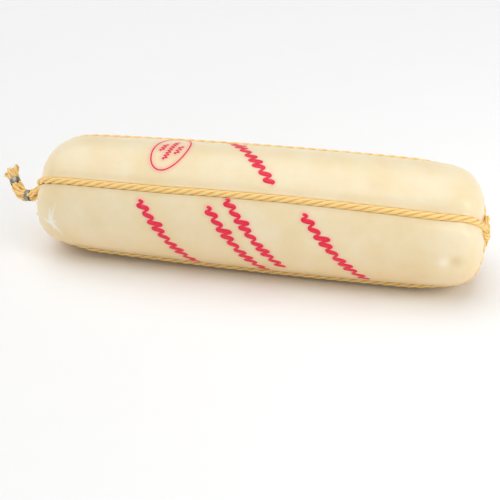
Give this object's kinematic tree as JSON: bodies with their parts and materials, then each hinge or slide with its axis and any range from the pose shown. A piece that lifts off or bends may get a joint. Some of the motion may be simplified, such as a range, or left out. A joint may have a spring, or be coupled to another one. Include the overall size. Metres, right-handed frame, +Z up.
{
  "type": "provolone cheese",
  "caption": "Whole log-shaped provolone cheese in a pale waxed rind, tied lengthwise with golden cord that ends in a knot at one end and a clipped tail at the other.",
  "frame": {"origin": "on the surface that the log rests on, under the middle of the whole object's box", "axes": "+X along the log from the clipped tail to the knot, +Z up, -Y towards the side with the cord seen at the front"},
  "size_m": [0.4962, 0.1216, 0.1189],
  "materials": {
    "rind": "pale ivory waxed film, semi-gloss, slightly translucent, with faded red print",
    "cord": "golden twisted cord, satin fibres",
    "clip": "dark grey steel band, brushed"
  },
  "bodies": {
    "root": {"cheese": "rind", "cord_front": "cord", "cord_top": "cord", "cord_back": "cord", "cord_under": "cord", "knot": "cord", "clip_inner": "clip", "clip_outer": "clip"}
  },
  "joints": []
}
